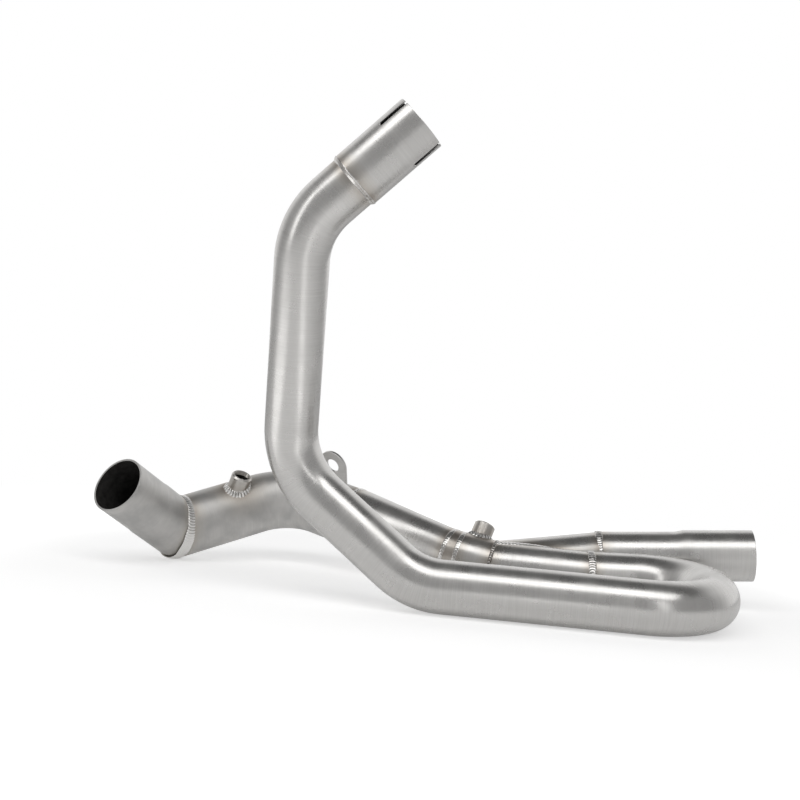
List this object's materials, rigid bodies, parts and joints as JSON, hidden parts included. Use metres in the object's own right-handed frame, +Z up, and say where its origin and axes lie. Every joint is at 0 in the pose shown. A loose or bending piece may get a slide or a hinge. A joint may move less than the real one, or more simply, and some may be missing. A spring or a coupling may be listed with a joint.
{
  "type": "motorcycle exhaust link pipe",
  "caption": "Welded stainless exhaust link pipe: bent header runs meet in a merge collector and leave by a slanted outlet, with slip-on sockets, sensor bosses and a hanger tab.",
  "frame": {"origin": "on the surface that the pipe lies on, under the middle of its bounding box", "axes": "+X along the front leg towards the return bend and the front socket, +Y from the front leg towards the collector, +Z up to the rear socket"},
  "size_m": [0.6768, 0.3269, 0.4565],
  "materials": {
    "tube": "satin brushed",
    "weld_bead": "rippled weld",
    "turned_boss": "turned",
    "tab_plate": "satin"
  },
  "bodies": {
    "root": {"collector_boss_weld": "weld_bead", "collector_lower_branch": "tube", "collector_outlet": "tube", "collector_ring_weld": "weld_bead", "collector_sensor_boss": "turned_boss", "collector_upper_branch": "tube", "collector_wedge": "tube", "crotch_seam_weld_bottom": "weld_bead", "crotch_seam_weld_top": "weld_bead", "front_inlet_tube": "tube", "hanger_tab": "tab_plate", "hanger_tab_weld": "weld_bead", "inlet_collector_weld": "weld_bead", "loop_collector_weld": "weld_bead", "loop_tube": "tube", "mitre_weld": "weld_bead", "outlet_boss_weld": "weld_bead", "outlet_sensor_boss": "turned_boss", "outlet_stub": "tube", "outlet_tube": "tube", "rear_socket": "tube", "rear_socket_weld": "weld_bead", "riser_cone": "tube", "riser_weld": "weld_bead", "wedge_inner_weld": "weld_bead", "wedge_outer_weld": "weld_bead"}
  },
  "joints": []
}
